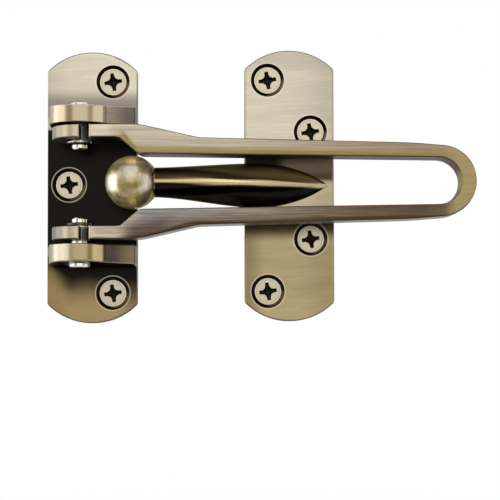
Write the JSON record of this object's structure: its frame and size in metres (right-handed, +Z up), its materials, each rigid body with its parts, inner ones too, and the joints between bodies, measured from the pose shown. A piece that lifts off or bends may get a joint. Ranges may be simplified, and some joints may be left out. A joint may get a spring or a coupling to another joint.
{
  "type": "swing bar door guard",
  "caption": "Swing-bar door guard, shut: a slotted bar hinged on an arch-ended frame plate lies over the ball-ended arm of a matching door plate; both plates carry countersunk wood screws.",
  "frame": {"origin": "centre of the frame plate's back face, on the wall", "axes": "+X from the frame plate to the door plate, +Y into the wall, +Z up along the hinge axis"},
  "size_m": [0.1391, 0.0448, 0.0905],
  "materials": {
    "frame_casting": "antique brass plating, brushed along the width, darker in the hollows",
    "door_casting": "antique brass plating, brushed, the arm polished on its crest and dark on its flanks",
    "bar_casting": "antique brass plating, brushed on the front, darker on the walls of the slot",
    "pin_metal": "bright nickel plated steel",
    "screw_metal": "warm nickel plated steel"
  },
  "bodies": {
    "fixed": {"frame_plate": "frame_casting", "door_plate": "door_casting", "upper_pivot_pin": "pin_metal", "lower_pivot_pin": "pin_metal", "upper_pin_clip": "pin_metal", "lower_pin_clip": "pin_metal", "frame_screw_upper": "screw_metal", "frame_screw_middle": "screw_metal", "frame_screw_lower": "screw_metal", "door_screw_top": "screw_metal", "door_screw_upper": "screw_metal", "door_screw_lower": "screw_metal", "door_screw_bottom": "screw_metal"},
    "bar": {"swing_bar": "bar_casting"}
  },
  "joints": [
    {"name": "bar_hinge", "type": "hinge", "parent": "fixed", "child": "bar", "pos_m": [-0.003, -0.0133, 0], "axis": [0, 0, -1], "range_deg": [0, 180]}
  ]
}
